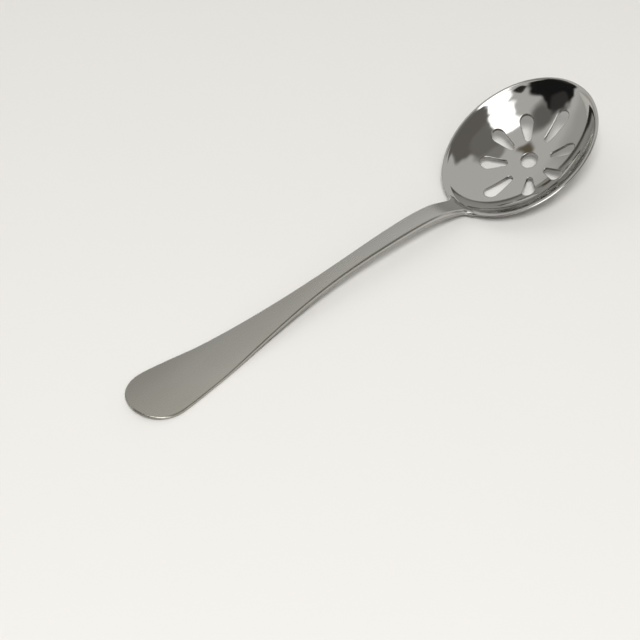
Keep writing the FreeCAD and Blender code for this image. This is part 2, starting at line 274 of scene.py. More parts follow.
@dataclass
class HandleForm:
    """The handle: its upper and under lines in side view, and its half width in plan."""

    sizes: SpoonSizes
    bowl: BowlForm
    root_lift: float = 0.05  # lifts the under line out of the way past its end, per mm
    tip_points: int = 200
    flank_points: int = 1200
    shoulder_points: int = 80

    def __post_init__(self) -> None:
        """Samples the upper and the under line of the side view."""
        size = self.sizes
        self.tip_x = -size.overall_length / 2
        self.curl_x = self.tip_x + size.rest_start
        self.bend = (size.rest_start**2 + size.tip_lift**2) / (2.0 * size.tip_lift)
        self.back = size.overall_length - size.rim_length * self.bowl.cos
        over = [(size.rest_end, size.tip_thickness), (size.rise_start, size.tip_thickness)]
        under = [(size.rest_end, 0.0), (size.rise_start, 0.0)]
        crown = (self.back - size.crown_back, size.crown_height)
        arch = ((size.rise[0] + crown[0]) / 2, size.arch_height)
        drop = (self.back - size.drop_back, size.drop_height)
        for place, height in (size.rise, arch, crown, drop):
            over.append((place, height))
            under.append((place, height - self.thickness(place)))
        edge_x = self.bowl.rim_x - self.bowl.inner_rim[0] * self.bowl.cos - self.tip_x
        edge_z = self.bowl.rim_z - self.bowl.inner_rim[0] * self.bowl.sin + size.neck_proud
        self.fall = math.tan(math.radians(size.neck_fall))
        for past in (-size.neck_run, size.neck_reach):
            over.append((edge_x + past, edge_z - past * self.fall))
        seat, slope = self.seat_on_bowl()
        under.append((seat[0] - self.tip_x - size.under_run, seat[1] + size.under_run * slope))
        under.append((seat[0] - self.tip_x, seat[1]))
        self.seat_x, self.seat_slope = seat[0], slope
        self.over = cubic_curve(over) + np.array([self.tip_x, 0.0])
        self.under = cubic_curve(under) + np.array([self.tip_x, 0.0])

    def thickness(self, place: float) -> float:
        """Metal at a place from the tip: it thickens evenly up to the bowl."""
        growth = self.sizes.neck_thickness - self.sizes.tip_thickness
        return self.sizes.tip_thickness + growth * place / self.back

    def seat_on_bowl(self) -> tuple[tuple[float, float], float]:
        """Finds where the underside runs into the outside of the bowl.

        Returns:
            The place in side view, and how the underside falls there.
        """
        angle = math.radians(self.sizes.under_seat)
        long, _, deep = self.bowl.outer
        u, w = -long * math.sin(angle), -deep * math.cos(angle)
        centre_x = self.bowl.rim_x - self.sizes.curve_rise * self.bowl.sin
        centre_z = self.bowl.rim_z + self.sizes.curve_rise * self.bowl.cos
        x = centre_x + u * self.bowl.cos - w * self.bowl.sin
        z = centre_z + u * self.bowl.sin + w * self.bowl.cos
        along, down = long * math.cos(angle), deep * math.sin(angle)
        fall = down * self.bowl.cos - along * self.bowl.sin
        return (x, z), fall / (along * self.bowl.cos + down * self.bowl.sin)

    def curl(self, x: np.ndarray, thickness: float) -> np.ndarray:
        """Height of a face on the arc that lifts the end of the handle.

        Args:
            x: Places along the spoon, in mm.
            thickness: How far inside the arc the face lies, in mm.

        Returns:
            The heights.
        """
        inner = self.bend - thickness
        before = np.minimum(x - self.curl_x, 0.0)
        return self.bend - np.sqrt(np.clip(inner**2 - before**2, 0.0, None))

    def over_height(self, x: np.ndarray) -> np.ndarray:
        """Height of the upper face, carried on straight past its end.

        Args:
            x: Places along the spoon, in mm.

        Returns:
            The heights.
        """
        height = np.interp(x, self.over[:, 0], self.over[:, 1])
        past = np.maximum(x - self.over[-1, 0], 0.0)
        curl = self.curl(x, self.sizes.tip_thickness)
        return np.where(x < self.curl_x, curl, height - past * self.fall)

    def under_height(self, x: np.ndarray) -> np.ndarray:
        """Height of the under face, lifted out of the way past its end.

        Args:
            x: Places along the spoon, in mm.

        Returns:
            The heights.
        """
        height = np.interp(x, self.under[:, 0], self.under[:, 1])
        past = np.maximum(x - self.seat_x, 0.0)
        height = height - past * self.seat_slope + past**2 * self.root_lift
        return np.where(x < self.curl_x, self.curl(x, 0.0), height)

    def plan_edge(self) -> np.ndarray:
        """Draws the flank as it is seen from above.

        Returns:
            Its points, from the tip to the end of the shoulder's arc.
        """
        size = self.sizes
        turn = np.radians(np.linspace(180.0, 90.0, self.tip_points))
        round_end = size.tip_radius * np.stack([np.cos(turn), np.sin(turn)], axis=1)
        centre = self.tip_x + size.tip_radius
        tip = round_end + np.array([centre, 0.0])
        end = math.radians(size.shoulder_turn)
        turn_y = size.neck_half + size.shoulder_radius * (1.0 - math.cos(end))
        rim_back = math.sqrt(1.0 - (turn_y / self.bowl.rim[1]) ** 2)
        turn_x = self.bowl.rim_x - self.bowl.rim[0] * self.bowl.cos * rim_back
        turn_x += size.rim_land / 2
        neck_x = turn_x - size.shoulder_radius * math.sin(end)
        grip = self.back - size.grip_back
        waist = ((size.taper[0] + grip) / 2, size.waist_half)
        guides = [(centre, size.tip_radius), (centre + size.tip_radius / 3, size.tip_radius)]
        for place, half in (size.blade, size.taper, waist, (grip, size.neck_half)):
            guides.append((self.tip_x + place, half))
        guides.append((neck_x, size.neck_half))
        flank = cubic_curve(guides, self.flank_points)
        sweep = np.linspace(0.0, end, self.shoulder_points)
        arc = size.shoulder_radius * np.stack([np.sin(sweep), 1.0 - np.cos(sweep)], axis=1)
        shoulder = arc + np.array([neck_x, size.neck_half])
        return np.concatenate([tip[:-1], flank[:-1], shoulder])


@dataclass
class MetalSheet:
    """The whole sheet of metal: the heights of its two faces over the table."""

    sizes: SpoonSizes
    near_bowl: float = 41.0  # the bowl has a part in the faces from here on
    root_taper: float = 0.3
    root_half: float = 2.0  # the root narrows to this and no further
    beside_fall: float = 3.0  # how steeply the back falls beside the neck
    crease: float = 0.08  # the least rounding where the bowl's inside starts
    land_round: float = 1.3  # and how much more there is where the rim's land meets it
    land_start: float = 0.5
    land_meet: float = 0.3  # the rounding between the neck and the land
    root_meet: float = 1.0  # the rounding between the root and the bowl's back
    crown: float = 0.25
    crown_end: float = 28.0  # the crown starts to flatten out here
    slope_step: float = 0.02

    def __post_init__(self) -> None:
        """Makes the bowl and the handle that the sheet is faired from."""
        self.bowl = BowlForm(self.sizes)
        self.handle = HandleForm(self.sizes, self.bowl)
        self.flank = self.handle.plan_edge()

    def half_width(self, x: np.ndarray) -> np.ndarray:
        """Half the handle's width, narrowing again where its root runs on into the bowl.

        Args:
            x: Places along the spoon, in mm.

        Returns:
            The half widths.
        """
        past = np.maximum(x - self.flank[-1, 0], 0.0)
        inside = np.interp(x, self.flank[:, 0], self.flank[:, 1])
        return np.maximum(inside - self.root_taper * past, self.root_half)

    def back_height(self, x: np.ndarray, y: np.ndarray) -> np.ndarray:
        """Height of the handle's back, which is crowned a little from side to side.

        Args:
            x: Places along the spoon, in mm.
            y: Places across the spoon, in mm.

        Returns:
            The heights.
        """
        share = np.clip(np.abs(y) / self.half_width(x), 0.0, 1.0)
        crown = self.crown * (1.0 - fade(x, self.crown_end, self.near_bowl))
        return self.handle.over_height(x) - crown * share**2

    def upper(self, x: np.ndarray, y: np.ndarray) -> np.ndarray:
        """Height of the face that looks up.

        Args:
            x: Places along the spoon, in mm.
            y: Places across the spoon, in mm.

        Returns:
            The height of the handle's back, the neck, the rim land or the inside of the bowl.
        """
        beside = np.maximum(np.abs(y) - self.half_width(x), 0.0)
        handle = self.back_height(x, y)
        land = self.bowl.land_height(x)
        inside = self.bowl.face_height(self.bowl.inner, x, y)
        fall = self.beside_fall * beside
        on_land = np.clip((land - handle + fall) / self.land_start + 0.5, 0.0, 1.0)
        reach = self.crease + self.land_round * on_land
        top = soft_max(handle - fall, land, self.land_meet)
        return np.where(x < self.near_bowl, handle, soft_min(inside, top, reach))

    def under(self, x: np.ndarray, y: np.ndarray) -> np.ndarray:
        """Height of the face that looks down, with the root faired into the bowl's back.

        Args:
            x: Places along the spoon, in mm.
            y: Places across the spoon, in mm.

        Returns:
            The heights.
        """
        beside = np.maximum(np.abs(y) - self.half_width(x), 0.0)
        handle = self.handle.under_height(x)
        outside = self.bowl.face_height(self.bowl.outer, x, y)
        faired = soft_min(handle + beside, outside, self.root_meet)
        return np.where(x < self.near_bowl, handle, faired)

    def place(self, x: np.ndarray, y: np.ndarray, side: Face) -> tuple[np.ndarray, np.ndarray]:
        """Points of one face and their outward unit normals.

        Args:
            x: Places along the spoon, in mm.
            y: Places across the spoon, in mm.
            side: The face they lie on.

        Returns:
            The points and the normals, one to a row.
        """
        face = self.upper if side is Face.UPPER else self.under
        step = self.slope_step
        slope_x = (face(x + step, y) - face(x - step, y)) / (2.0 * step)
        slope_y = (face(x, y + step) - face(x, y - step)) / (2.0 * step)
        normals = unit(np.stack([-slope_x, -slope_y, np.ones_like(x)], axis=1))
        return np.stack([x, y, face(x, y)], axis=1), normals * side.value


@dataclass(frozen=True)
class Wire:
    """A number that runs through a node tree, joined to others with plain arithmetic."""

    tree: Tree
    socket: Socket

    def through(self, operation: str, other: "Wire | float" = 0.0) -> "Wire":
        """The result of one Math node that this number and another run into."""
        node = add_node(self.tree, "ShaderNodeMath", {0: self, 1: other}, operation=operation)
        return Wire(self.tree, node.outputs[0])

    def __add__(self, other: "Wire | float") -> "Wire":
        """This number and another added up."""
        return self.through("ADD", other)

    def __sub__(self, other: "Wire | float") -> "Wire":
        """This number less another."""
        return self.through("SUBTRACT", other)

    def __mul__(self, other: "Wire | float") -> "Wire":
        """This number times another."""
        return self.through("MULTIPLY", other)

    def __truediv__(self, other: "Wire | float") -> "Wire":
        """This number over another."""
        return self.through("DIVIDE", other)


def add_node(tree: Tree, kind: str, inputs: dict, **settings: object) -> bpy.types.Node:
    """Adds a node, sets it up and links or fills its inputs.

    Args:
        tree: The tree to add it to.
        kind: The node's type.
        inputs: A wire, a socket or a plain value for each input, by its name or number.
        **settings: The node's own choices, such as its operation.

    Returns:
        The node.
    """
    node = tree.nodes.new(kind)
    for name, value in settings.items():
        setattr(node, name, value)
    for name, value in inputs.items():
        source = value.socket if isinstance(value, Wire) else value
        if isinstance(source, Socket):
            tree.links.new(source, node.inputs[name])
        else:
            node.inputs[name].default_value = source
    return node


def smooth_step(
    tree: Tree, value: Wire | Socket, start: float, end: float, low: float = 0.0
) -> Wire:
    """A smooth step of a number that runs through a tree.

    Args:
        tree: The tree to build in.
        value: The number.
        start: Where the step starts.
        end: Where it is 1.
        low: What it is up to the start.

    Returns:
        The step.
    """
    inputs = {"Value": value, "From Min": start, "From Max": end, "To Min": low}
    node = add_node(tree, "ShaderNodeMapRange", inputs, interpolation_type="SMOOTHSTEP")
    return Wire(tree, node.outputs["Result"])


def mixed(
    tree: Tree, share: Wire | Socket, first: Triple | Socket, second: Triple | Socket
) -> Socket:
    """A colour between two others.

    Args:
        tree: The tree to build in.
        share: How much of the second colour there is, from 0 to 1.
        first: The first colour.
        second: The second colour.

    Returns:
        The socket with the mixed colour.
    """
    inputs = {"Factor": share}
    for name, colour in (("A", first), ("B", second)):
        inputs[name] = colour if isinstance(colour, Socket) else (*colour, 1.0)
    return add_node(tree, "ShaderNodeMix", inputs, data_type="RGBA").outputs["Result"]


@dataclass
class Flower:
    """The pierced flower: teardrop slots about a round hole, made with Geometry Nodes."""

    sizes: SpoonSizes
    corners: int = 96
    axis_power: float = 4.0  # keeps what is added to the slots along the bowl off the others

    def number_inputs(self) -> dict[str, float]:
        """Lists the tree's sizes.

        Returns:
            Their names and their values, in millimetres.
        """
        size = self.sizes
        return {
            "Near": size.petal_near,
            "Far": size.petal_far,
            "Narrow": size.petal_narrow,
            "Wide": size.petal_wide,
            "Axis Near": size.axis_near,
            "Axis Far": size.axis_far,
            "Hole": size.hole_radius,
        }

    def tree(self, material: bpy.types.Material) -> Tree:
        """Builds the node tree.

        Args:
            material: The finish that the punched pieces are given.

        Returns:
            The tree: one flat piece for each slot and one for the hole, as punched out.
        """
        tree = bpy.data.node_groups.new("flower_piercing", "GeometryNodeTree")
        face = tree.interface
        face.new_socket("Geometry", in_out="OUTPUT", socket_type="NodeSocketGeometry")
        face.new_socket("Petals", in_out="INPUT", socket_type="NodeSocketInt")
        for name in self.number_inputs():
            face.new_socket(name, in_out="INPUT", socket_type="NodeSocketFloat")
        group_in = tree.nodes.new("NodeGroupInput")
        group_out = tree.nodes.new("NodeGroupOutput")
        size = {name: Wire(tree, group_in.outputs[name]) for name in self.number_inputs()}
        petals = Wire(tree, group_in.outputs["Petals"])

        outline = {"Vertices": self.corners}
        disc = add_node(tree, "GeometryNodeMeshCircle", outline, fill_type="NGON")
        stems = add_node(tree, "GeometryNodePoints", {"Count": petals})
        on_stems = {"Points": stems.outputs[0], "Instance": disc.outputs["Mesh"]}
        copies = add_node(tree, "GeometryNodeInstanceOnPoints", on_stems)
        loose = add_node(tree, "GeometryNodeRealizeInstances", {0: copies.outputs[0]})
        moved = {"Geometry": loose.outputs[0], "Position": self.petal_place(tree, petals, size)}
        shaped = add_node(tree, "GeometryNodeSetPosition", moved)
        outline = {"Vertices": self.corners, "Radius": size["Hole"]}
        hole = add_node(tree, "GeometryNodeMeshCircle", outline, fill_type="NGON")
        both = add_node(tree, "GeometryNodeJoinGeometry", {0: hole.outputs["Mesh"]})
        tree.links.new(shaped.outputs[0], both.inputs[0])
        real = add_node(tree, "GeometryNodeRealizeInstances", {0: both.outputs[0]})
        finish = {"Geometry": real.outputs[0], "Material": material}
        dressed = add_node(tree, "GeometryNodeSetMaterial", finish)
        tree.links.new(dressed.outputs[0], group_out.inputs[0])
        return tree

    def petal_place(self, tree: Tree, petals: Wire, size: dict[str, Wire]) -> Socket:
        """Where a corner of a petal goes: on its narrow end or on its wide end.

        Args:
            tree: The tree to build in.
            petals: How many petals there are.
            size: The tree's size inputs.

        Returns:
            The socket that carries the place.
        """
        corner = Wire(tree, tree.nodes.new("GeometryNodeInputIndex").outputs[0])
        petal = (corner / self.corners).through("FLOOR")
        turn = petal / petals * (2.0 * math.pi)
        cos, sin = turn.through("COSINE"), turn.through("SINE")
        on_axis = (cos * cos).through("POWER", self.axis_power)
        near = size["Near"] + size["Narrow"] + size["Axis Near"] * on_axis
        far = size["Far"] - size["Wide"] + size["Axis Far"] * on_axis
        near_x, near_y = near * cos, near * sin
        far_x, far_y = far * cos, far * sin
        along, across = far_x - near_x, far_y - near_y
        heading = across.through("ARCTAN2", along)
        length = (along * along + across * across).through("SQRT")
        lean = ((size["Wide"] - size["Narrow"]) / length).through("ARCSINE") + math.pi / 2.0

        step = corner - petal * self.corners
        half = self.corners // 2
        wide_end = step.through("GREATER_THAN", half - 0.5)
        share = (step - wide_end * half) / (half - 1.0)
        round_narrow = heading + lean + (lean * -2.0 + 2.0 * math.pi) * share
        round_wide = heading - lean + lean * 2.0 * share
        angle = round_narrow + (round_wide - round_narrow) * wide_end
        radius = size["Narrow"] + (size["Wide"] - size["Narrow"]) * wide_end
        x = near_x + along * wide_end + radius * angle.through("COSINE")
        y = near_y + across * wide_end + radius * angle.through("SINE")
        return add_node(tree, "ShaderNodeCombineXYZ", {0: x, 1: y}).outputs[0]

    def loops(self, material: bpy.types.Material) -> list[np.ndarray]:
        """Bakes the tree and reads the slots' outlines.

        Args:
            material: The finish handed to the tree.

        Returns:
            One closed outline for each opening, along and across the rim plane, in mm.
        """
        tree = self.tree(material)
        holder = bpy.data.objects.new("flower", bpy.data.meshes.new("flower"))
        bpy.context.scene.collection.objects.link(holder)
        punch = holder.modifiers.new("piercing", "NODES")
        punch.node_group = tree
        values = {"Petals": self.sizes.petal_count, **self.number_inputs()}
        for item in tree.interface.items_tree:
            if item.in_out == "INPUT":
                punch[item.identifier] = values[item.name]
        graph = bpy.context.evaluated_depsgraph_get()
        baked = bpy.data.meshes.new_from_object(holder.evaluated_get(graph))
        holder.modifiers.remove(punch)
        loops = []
        for piece in baked.polygons:
            loop = np.array([baked.vertices[corner].co[:2] for corner in piece.vertices])
            loops.append(loop + np.array([self.sizes.flower_forward, 0.0]))
        bpy.data.objects.remove(holder)
        bpy.data.meshes.remove(baked)
        return loops


def even_loop(loop: np.ndarray, pitch: float, fewest: int = 12) -> np.ndarray:
    """Spaces the points of a closed outline evenly.

    Args:
        loop: The outline's points, without its first repeated at the end.
        pitch: The wanted spacing, in mm.
        fewest: How many points it has at least.

    Returns:
        The new points, running anticlockwise.
    """
    closed = np.concatenate([loop, loop[:1]])
    twice_area = np.sum(closed[:-1, 0] * closed[1:, 1] - closed[1:, 0] * closed[:-1, 1])
    if twice_area < 0.0:
        closed = closed[::-1]
    runs = np.linalg.norm(np.diff(closed, axis=0), axis=1)
    where = np.concatenate([[0.0], np.cumsum(runs)])
    count = max(fewest, int(round(where[-1] / pitch)))
    marks = np.linspace(0.0, where[-1], count, endpoint=False)
    return np.stack([np.interp(marks, where, closed[:, axis]) for axis in (0, 1)], axis=1)


def loop_normals(loop: np.ndarray) -> np.ndarray:
    """Outward unit normals of an anticlockwise closed outline."""
    run = np.roll(loop, -1, axis=0) - np.roll(loop, 1, axis=0)
    return unit(np.stack([run[:, 1], -run[:, 0]], axis=1))


def inside_loop(points: np.ndarray, loop: np.ndarray) -> np.ndarray:
    """Finds which points lie inside a closed outline, by counting crossings.

    Args:
        points: The points, one to a row.
        loop: The outline's points.

    Returns:
        True for each point that lies inside.
    """
    crossings = np.zeros(len(points), dtype=int)
    for (x0, y0), (x1, y1) in zip(loop, np.roll(loop, -1, axis=0)):
        between = (y0 > points[:, 1]) != (y1 > points[:, 1])
        share = (points[:, 1] - y0) / (y1 - y0 if y1 != y0 else 1.0)
        crossings += between & (points[:, 0] < x0 + share * (x1 - x0))
    return crossings % 2 == 1


@dataclass
class SheetMesh:
    """Collects points, outward normals and faces for one closed skin."""

    points: list[np.ndarray] = field(default_factory=list)
    normals: list[np.ndarray] = field(default_factory=list)
    faces: list[tuple[int, ...]] = field(default_factory=list)
    count: int = 0

    def add(self, points: np.ndarray, normals: np.ndarray) -> np.ndarray:
        """Adds points to the skin.

        Args:
            points: The points, one to a row, in mm.
            normals: Their outward normals.

        Returns:
            The points' numbers in this skin.
        """
        self.points.append(points)
        self.normals.append(normals)
        self.count += len(points)
        return np.arange(self.count - len(points), self.count)

    def band(self, rows: list[np.ndarray]) -> None:
        """Closes the strips between rows of points that run round the same outline.

        Args:
            rows: The numbers of each row's points.
        """
        for first, second in zip(rows, rows[1:]):
            quads = np.stack([first, np.roll(first, -1), np.roll(second, -1), second], axis=1)
            self.faces.extend(map(tuple, quads.tolist()))

    def fill(self, flat: np.ndarray, numbers: np.ndarray, rims: list[np.ndarray]) -> None:
        """Fills the face between its rims with triangles.

        Args:
            flat: Where each point lies in the plane that the triangles are chosen in.
            numbers: The points' numbers in this skin.
            rims: Rows of places in flat: the outside rim first, then the openings.
        """
        edges = []
        for rim in rims:
            edges.extend(zip(rim.tolist(), np.roll(rim, -1).tolist()))
        made = delaunay_2d_cdt([Vector(place) for place in flat], edges, [], 0, MERGE)
        source = np.array([origin[0] if origin else -1 for origin in made[3]])
        corners = source[np.array(made[2])]
        corners = corners[(corners >= 0).all(axis=1)]
        middle = flat[corners].mean(axis=1)
        keep = inside_loop(middle, flat[rims[0]])
        for rim in rims[1:]:
            keep &= ~inside_loop(middle, flat[rim])
        self.faces.extend(map(tuple, numbers[corners[keep]].tolist()))

    def build(self, name: str) -> bpy.types.Object:
        """Makes the object, with each face turned outwards.

        Args:
            name: The object's name.

        Returns:
            The new object, at the origin, with its place in its mesh.
        """
        points = np.concatenate(self.points)
        normals = np.concatenate(self.normals)
        turned = []
        for face in self.faces:
            first, second, third = points[list(face[:3])]
            across = np.cross(second - first, third - first)
            outward = normals[list(face)].sum(axis=0)
            turned.append(face if across @ outward > 0.0 else face[::-1])
        mesh = bpy.data.meshes.new(name)
        mesh.from_pydata((points * MM).tolist(), [], turned)
        mesh.polygons.foreach_set("use_smooth", np.ones(len(turned), dtype=bool))
        mesh.normals_split_custom_set_from_vertices(normals.tolist())
        mesh.update()
        piece = bpy.data.objects.new(name, mesh)
        bpy.context.scene.collection.objects.link(piece)
        return piece


@dataclass(frozen=True)
class Sampling:
    """How densely the skin is sampled: lengths in mm, and rows by their inset from the rim."""

    pitch: float = 0.5
    gap: float = 0.3  # the least between two places on a face
    rim_points: int = 600
    row_points: int = 420
    upper_rows: tuple[float, ...] = (1.1, 1.4, 1.6, 2.0, 2.6)
    under_rows: tuple[float, ...] = (0.9, 1.5, 2.1)
    shell_half: tuple[float, float] = (36.0, 29.0)
    shell_pitch: float = 0.62
    shell_inset: float = 0.6
    shell_start: float = 62.0
    grid_half: float = 24.0
    grids: tuple[Triple, ...] = ((44.0, 62.4, 0.42), (-115.0, 44.0, 0.85))  # start, end, pitch


@dataclass
class ServingSpoon:
    """The spoon itself: one skin over the bowl, the neck and the handle.

    The pairs of numbers say where along the spoon a change starts and where it ends.
    """

    sizes: SpoonSizes
    sampling: Sampling = Sampling()
    handle_round: float = 0.8
    neck_round: float = 1.3
    rim_round: float = 0.6
    rim_shy: float = 0.12  # how far the rim keeps inside the CAD solid's rim
    front_shy: float = 1.5  # how much further it does at the front, as a share
    lip_round: float = 0.3
    round_steps: int = 7
    to_neck_round: tuple[float, float] = (-50.0, 20.0)
    to_rim_round: tuple[float, float] = (44.0, 56.0)
    to_rim_tilt: tuple[float, float] = (53.0, 60.0)
    corner_reach: float = 4.5
    corner_passes: int = 24

    def __post_init__(self) -> None:
        """Makes the faces' rules."""
        self.sheet = MetalSheet(self.sizes)
        self.bowl = self.sheet.bowl
        self.mesh = SheetMesh()
        self.turns = np.linspace(0.0, math.pi / 2.0, self.round_steps)

    def outline(self) -> np.ndarray:
        """Draws the whole spoon as it is seen from above.

        Returns:
            One closed outline, with the corners beside the neck rounded.
        """
        flank = self.sheet.flank
        half_long = self.bowl.rim[0] * self.bowl.cos
        along = (flank[:, 0] - self.bowl.rim_x) / half_long
        in_rim = along**2 + (flank[:, 1] / self.bowl.rim[1]) ** 2 < 1.0
        first = int(np.argmax(in_rim))
        start = math.atan2(flank[first, 1] / self.bowl.rim[1], along[first])
        turn = np.linspace(start, 0.0, self.sampling.rim_points)
        rim_x = self.bowl.rim_x + half_long * np.cos(turn)
        rim = np.stack([rim_x, self.bowl.rim[1] * np.sin(turn)], axis=1)
        half = np.concatenate([flank[:first], rim])
        mirrored = half[1:-1][::-1] * np.array([1.0, -1.0])
        loop = even_loop(np.concatenate([half, mirrored]), self.sampling.pitch)
        away = np.hypot(loop[:, 0] - flank[first, 0], np.abs(loop[:, 1]) - flank[first, 1])
        corner = away < self.corner_reach
        for _ in range(self.corner_passes):
            faired = (np.roll(loop, 1, axis=0) + 2.0 * loop + np.roll(loop, -1, axis=0)) / 4.0
            loop = np.where(corner[:, None], faired, loop)
        return loop

    def edge(self, outline: np.ndarray) -> tuple[np.ndarray, np.ndarray]:
        """Rounds the edge all round the spoon.

        Args:
            outline: The closed outline seen from above.

        Returns:
            The numbers of the points where the rounding meets the upper and the under face.
        """
        out = loop_normals(outline)
        x, y = outline[:, 0], outline[:, 1]
        swell = (self.neck_round - self.handle_round) * fade(x, *self.to_neck_round)
        radius = self.handle_round + swell
        radius = (radius + (self.rim_round - radius) * fade(x, *self.to_rim_round))[:, None]
        in_bowl = fade(x, *self.to_rim_tilt)[:, None]
        plane = np.stack([(x - self.bowl.rim_x) / self.bowl.cos, y], axis=1)
        plane_out = unit(out * np.array([self.bowl.cos, 1.0]))
        flat_out = np.concatenate([out, np.zeros((len(out), 1))], axis=1)
        rim_out = self.bowl.turned(plane_out[:, 0], plane_out[:, 1], 0.0 * x)
        side = unit(flat_out + (rim_out - flat_out) * in_bowl)

        shy = self.rim_shy * (1.0 + self.front_shy * np.clip(plane_out[:, :1], 0.0, 1.0))
        inset = outline - radius * out
        plane_inset = plane - (radius + shy) * plane_out
        upper, upper_normal = self.sheet.place(inset[:, 0], inset[:, 1], Face.UPPER)
        under, under_normal = self.sheet.place(inset[:, 0], inset[:, 1], Face.UNDER)
        wall = -self.bowl.depth_at(self.bowl.outer, plane_inset[:, 0], plane_inset[:, 1])
        rise = (upper[:, 2] - under[:, 2]) / 2.0
        rim_rise = np.minimum(radius[:, 0], wall / 2.0)
        tall = rise[:, None] + (rim_rise - rise)[:, None] * in_bowl

        rows = []
        for face in Face:
            up = face is Face.UPPER
            normal = upper_normal if up else under_normal
            for turn in self.turns:
                back, drop = 1.0 - math.sin(turn), 1.0 - math.cos(turn)
                place = outline - radius * back * out
                height = upper[:, 2] - rise * drop if up else under[:, 2] + rise * drop
                level = np.concatenate([place, height[:, None]], axis=1)
                spot = plane - (radius * back + shy) * plane_out
                deep = -rim_rise * drop if up else rim_rise * drop - wall
                tilted = self.bowl.world(spot[:, 0], spot[:, 1], deep)
                points = level + (tilted - level) * in_bowl
                shade = math.cos(turn) * radius * normal + math.sin(turn) * tall * side
                rows.append(self.mesh.add(points, unit(shade)))
        over_rows, under_rows = rows[: self.round_steps], rows[self.round_steps :]
        self.mesh.band(over_rows + under_rows[::-1])
        return over_rows[0], under_rows[0]

    def lip(self, slot: np.ndarray) -> tuple[np.ndarray, np.ndarray]:
        """Rounds both edges of one opening and closes the wall between them.

        Args:
            slot: The opening's outline, along and across the rim plane.

        Returns:
            The numbers of the points where the lips meet the upper and the under face.
        """
        out = loop_normals(slot)
        start = slot + self.lip_round * out
        side = -self.bowl.turned(out[:, 0], out[:, 1], 0.0 * out[:, 0])
        rows = []
        for side_up, axes in ((Face.UPPER, self.bowl.inner), (Face.UNDER, self.bowl.outer)):
            normal = self.bowl.normal(axes, start[:, 0], start[:, 1]) * -side_up.value
            face = self.bowl.depth_at(axes, start[:, 0], start[:, 1])
            ring = []
            for turn in self.turns:
                spot = slot + self.lip_round * (1.0 - math.sin(turn)) * out
                drop = self.lip_round * (1.0 - math.cos(turn)) * -side_up.value
                shade = math.cos(turn) * normal + math.sin(turn) * side
                points = self.bowl.world(spot[:, 0], spot[:, 1], face + drop)
                ring.append(self.mesh.add(points, unit(shade)))
            rows.append(ring)
        self.mesh.band(rows[0] + rows[1][::-1])
        return rows[0][0], rows[1][0]

    def spread(self, side: Face) -> np.ndarray:
        """Places for the points between the rims of one face, in order of their weight.

        Args:
            side: The face they are for.

        Returns:
            The places along and across the spoon, in mm.
        """
        fine = self.sampling
        if side is Face.UPPER:
            insets, axes, rim = fine.upper_rows, self.bowl.inner, self.bowl.inner_rim
        else:
            insets, axes, rim = fine.under_rows, self.bowl.outer, self.bowl.rim
        sets = []
        turn = np.linspace(0.0, 2.0 * math.pi, fine.row_points, endpoint=False)
        for inset in insets:
            u = (self.bowl.rim[0] - inset) * np.cos(turn)
            v = (self.bowl.rim[1] - inset) * np.sin(turn)
            deep = np.minimum(self.bowl.depth_at(axes, u, v), 0.0)
            sets.append(self.bowl.world(u, v, deep)[:, :2])
        u, v = self.staggered(*((-half, half) for half in fine.shell_half), fine.shell_pitch)
        edge = (u / (rim[0] - fine.shell_inset)) ** 2 + (v / (rim[1] - fine.shell_inset)) ** 2
        u, v = u[edge < 1.0], v[edge < 1.0]
        shell = self.bowl.world(u, v, self.bowl.depth_at(axes, u, v))[:, :2]
        sets.append(shell[shell[:, 0] > fine.shell_start])
        for start, end, pitch in fine.grids:
            x, y = self.staggered((start, end), (-fine.grid_half, fine.grid_half), pitch)
            sets.append(np.stack([x, y], axis=1))
        return np.concatenate(sets)

    @staticmethod
    def staggered(
        along: tuple[float, float], across: tuple[float, float], pitch: float
    ) -> tuple[np.ndarray, np.ndarray]:
        """Rows of places, each second row shifted by half the pitch.

        Args:
            along: Where the rows start and end.
            across: Where the first and the last row lie.
            pitch: How far apart the places and the rows are.

        Returns:
            The places along and across.
        """
        x, y = np.meshgrid(np.arange(*along, pitch), np.arange(*across, pitch))
        x[::2] += pitch / 2.0
        return x.ravel(), y.ravel()

    def flatten(self, points: np.ndarray) -> np.ndarray:
        """Finds where points land when they are looked at square to the rim plane.

        Args:
            points: The points, one to a row, in mm.

        Returns:
            Their places along and across the rim plane.
        """
        along = (points[:, 0] - self.bowl.rim_x) * self.bowl.cos
        along += (points[:, 2] - self.bowl.rim_z) * self.bowl.sin
        return np.stack([along, points[:, 1]], axis=1)

    def face(self, side: Face, rims: list[np.ndarray]) -> None:
        """Fills the upper or the under face between its rims.

        Args:
            side: The face to fill.
            rims: The numbers of the points on the outside rim, then on each opening.
        """
        every = np.concatenate(self.mesh.points)
        rim_points = every[np.concatenate(rims)]
        rim_flat = self.flatten(rim_points)
        rows, start = [], 0
        for rim in rims:
            rows.append(np.arange(start, start + len(rim)))
            start += len(rim)
        spread = self.spread(side)
        points, normals = self.sheet.place(spread[:, 0], spread[:, 1], side)
        flat = self.flatten(points)
        keep = inside_loop(flat, rim_flat[rows[0]])
        for row in rows[1:]:
            keep &= ~inside_loop(flat, rim_flat[row])
        points, normals, flat = points[keep], normals[keep], flat[keep]
        keep = self.apart(flat, rim_flat)
        numbers = np.concatenate([*rims, self.mesh.add(points[keep], normals[keep])])
        self.mesh.fill(np.concatenate([rim_flat, flat[keep]]), numbers, rows)

